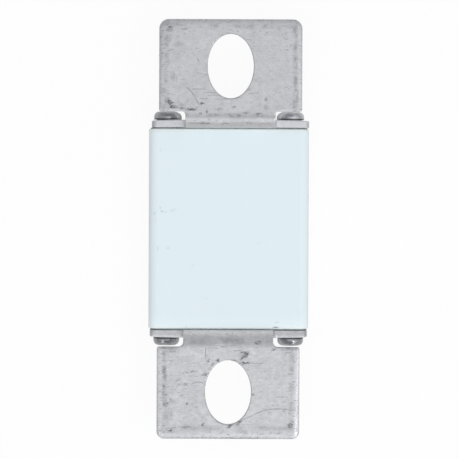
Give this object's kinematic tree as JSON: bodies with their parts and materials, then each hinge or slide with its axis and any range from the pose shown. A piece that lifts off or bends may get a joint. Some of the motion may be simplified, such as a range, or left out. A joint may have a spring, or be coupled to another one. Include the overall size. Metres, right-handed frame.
{
  "type": "high speed fuse",
  "caption": "High speed fuse: a square ceramic body with a blank label on its front and a bent, screwed metal terminal with an oval bolt hole on each end.",
  "frame": {"origin": "middle of the body's back face, on the surface that the fuse lies on", "axes": "+X across the body, +Y along the fuse towards its upper terminal, +Z out of the labelled front"},
  "size_m": [0.045, 0.1174, 0.0492],
  "materials": {
    "ceramic": "matte",
    "label": "satin",
    "tinned_sheet": "satin",
    "gasket": "matte",
    "screw": "satin",
    "copper": "satin",
    "silver": "satin",
    "sand": "matte",
    "plug": "satin"
  },
  "bodies": {
    "root": {"ceramic_body": "ceramic", "front_label": "label", "upper_terminal": "tinned_sheet", "lower_terminal": "tinned_sheet", "upper_gasket": "gasket", "lower_gasket": "gasket", "upper_screws": "screw", "lower_screws": "screw", "upper_contact_plate": "copper", "lower_contact_plate": "copper", "fuse_element_1": "silver", "fuse_element_2": "silver", "fuse_element_3": "silver", "fuse_element_4": "silver", "fuse_element_5": "silver", "fuse_element_6": "silver", "fuse_element_7": "silver", "fuse_element_8": "silver", "sand_filler": "sand", "fill_plug": "plug"}
  },
  "joints": []
}
